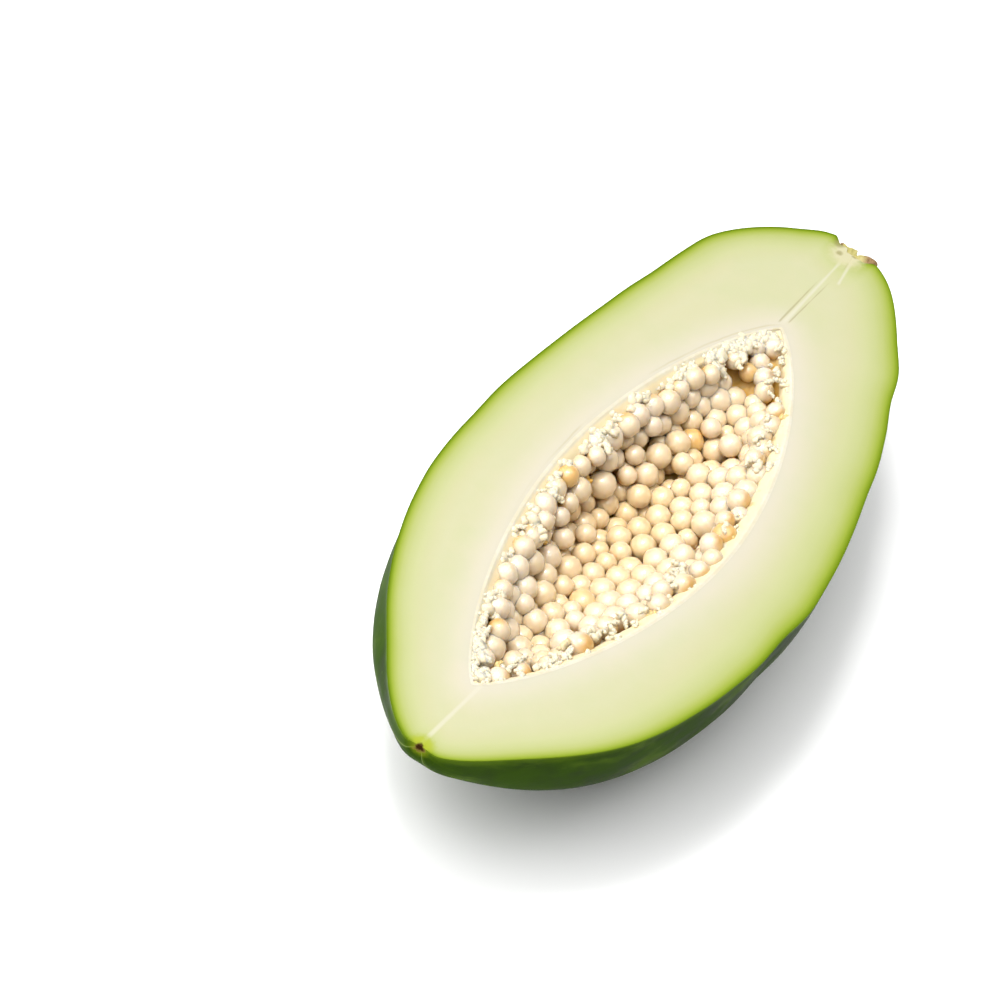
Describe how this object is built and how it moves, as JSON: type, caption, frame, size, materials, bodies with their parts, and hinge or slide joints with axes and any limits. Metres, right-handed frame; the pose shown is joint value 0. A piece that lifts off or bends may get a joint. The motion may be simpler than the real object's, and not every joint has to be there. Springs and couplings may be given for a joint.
{
  "type": "half green papaya",
  "caption": "Green papaya cut lengthwise, lying on its rounded back with the cut face up: green skin, pale flesh and a hollow lined with round white seeds.",
  "frame": {"origin": "centre of the half fruit's box, on the surface that it lies on", "axes": "+X from the blossom tip to the stem end, +Z out of the cut face"},
  "size_m": [0.215, 0.0976, 0.0521],
  "materials": {
    "flesh": "moist pale green-white flesh under a thin glossy dark green skin",
    "seeds": "wet pearly cream seeds on a pale lining",
    "stem": "dry brown stem tissue"
  },
  "bodies": {
    "root": {"papaya_half": "flesh", "seed_bed": "seeds", "stem_stub": "stem"}
  },
  "joints": []
}
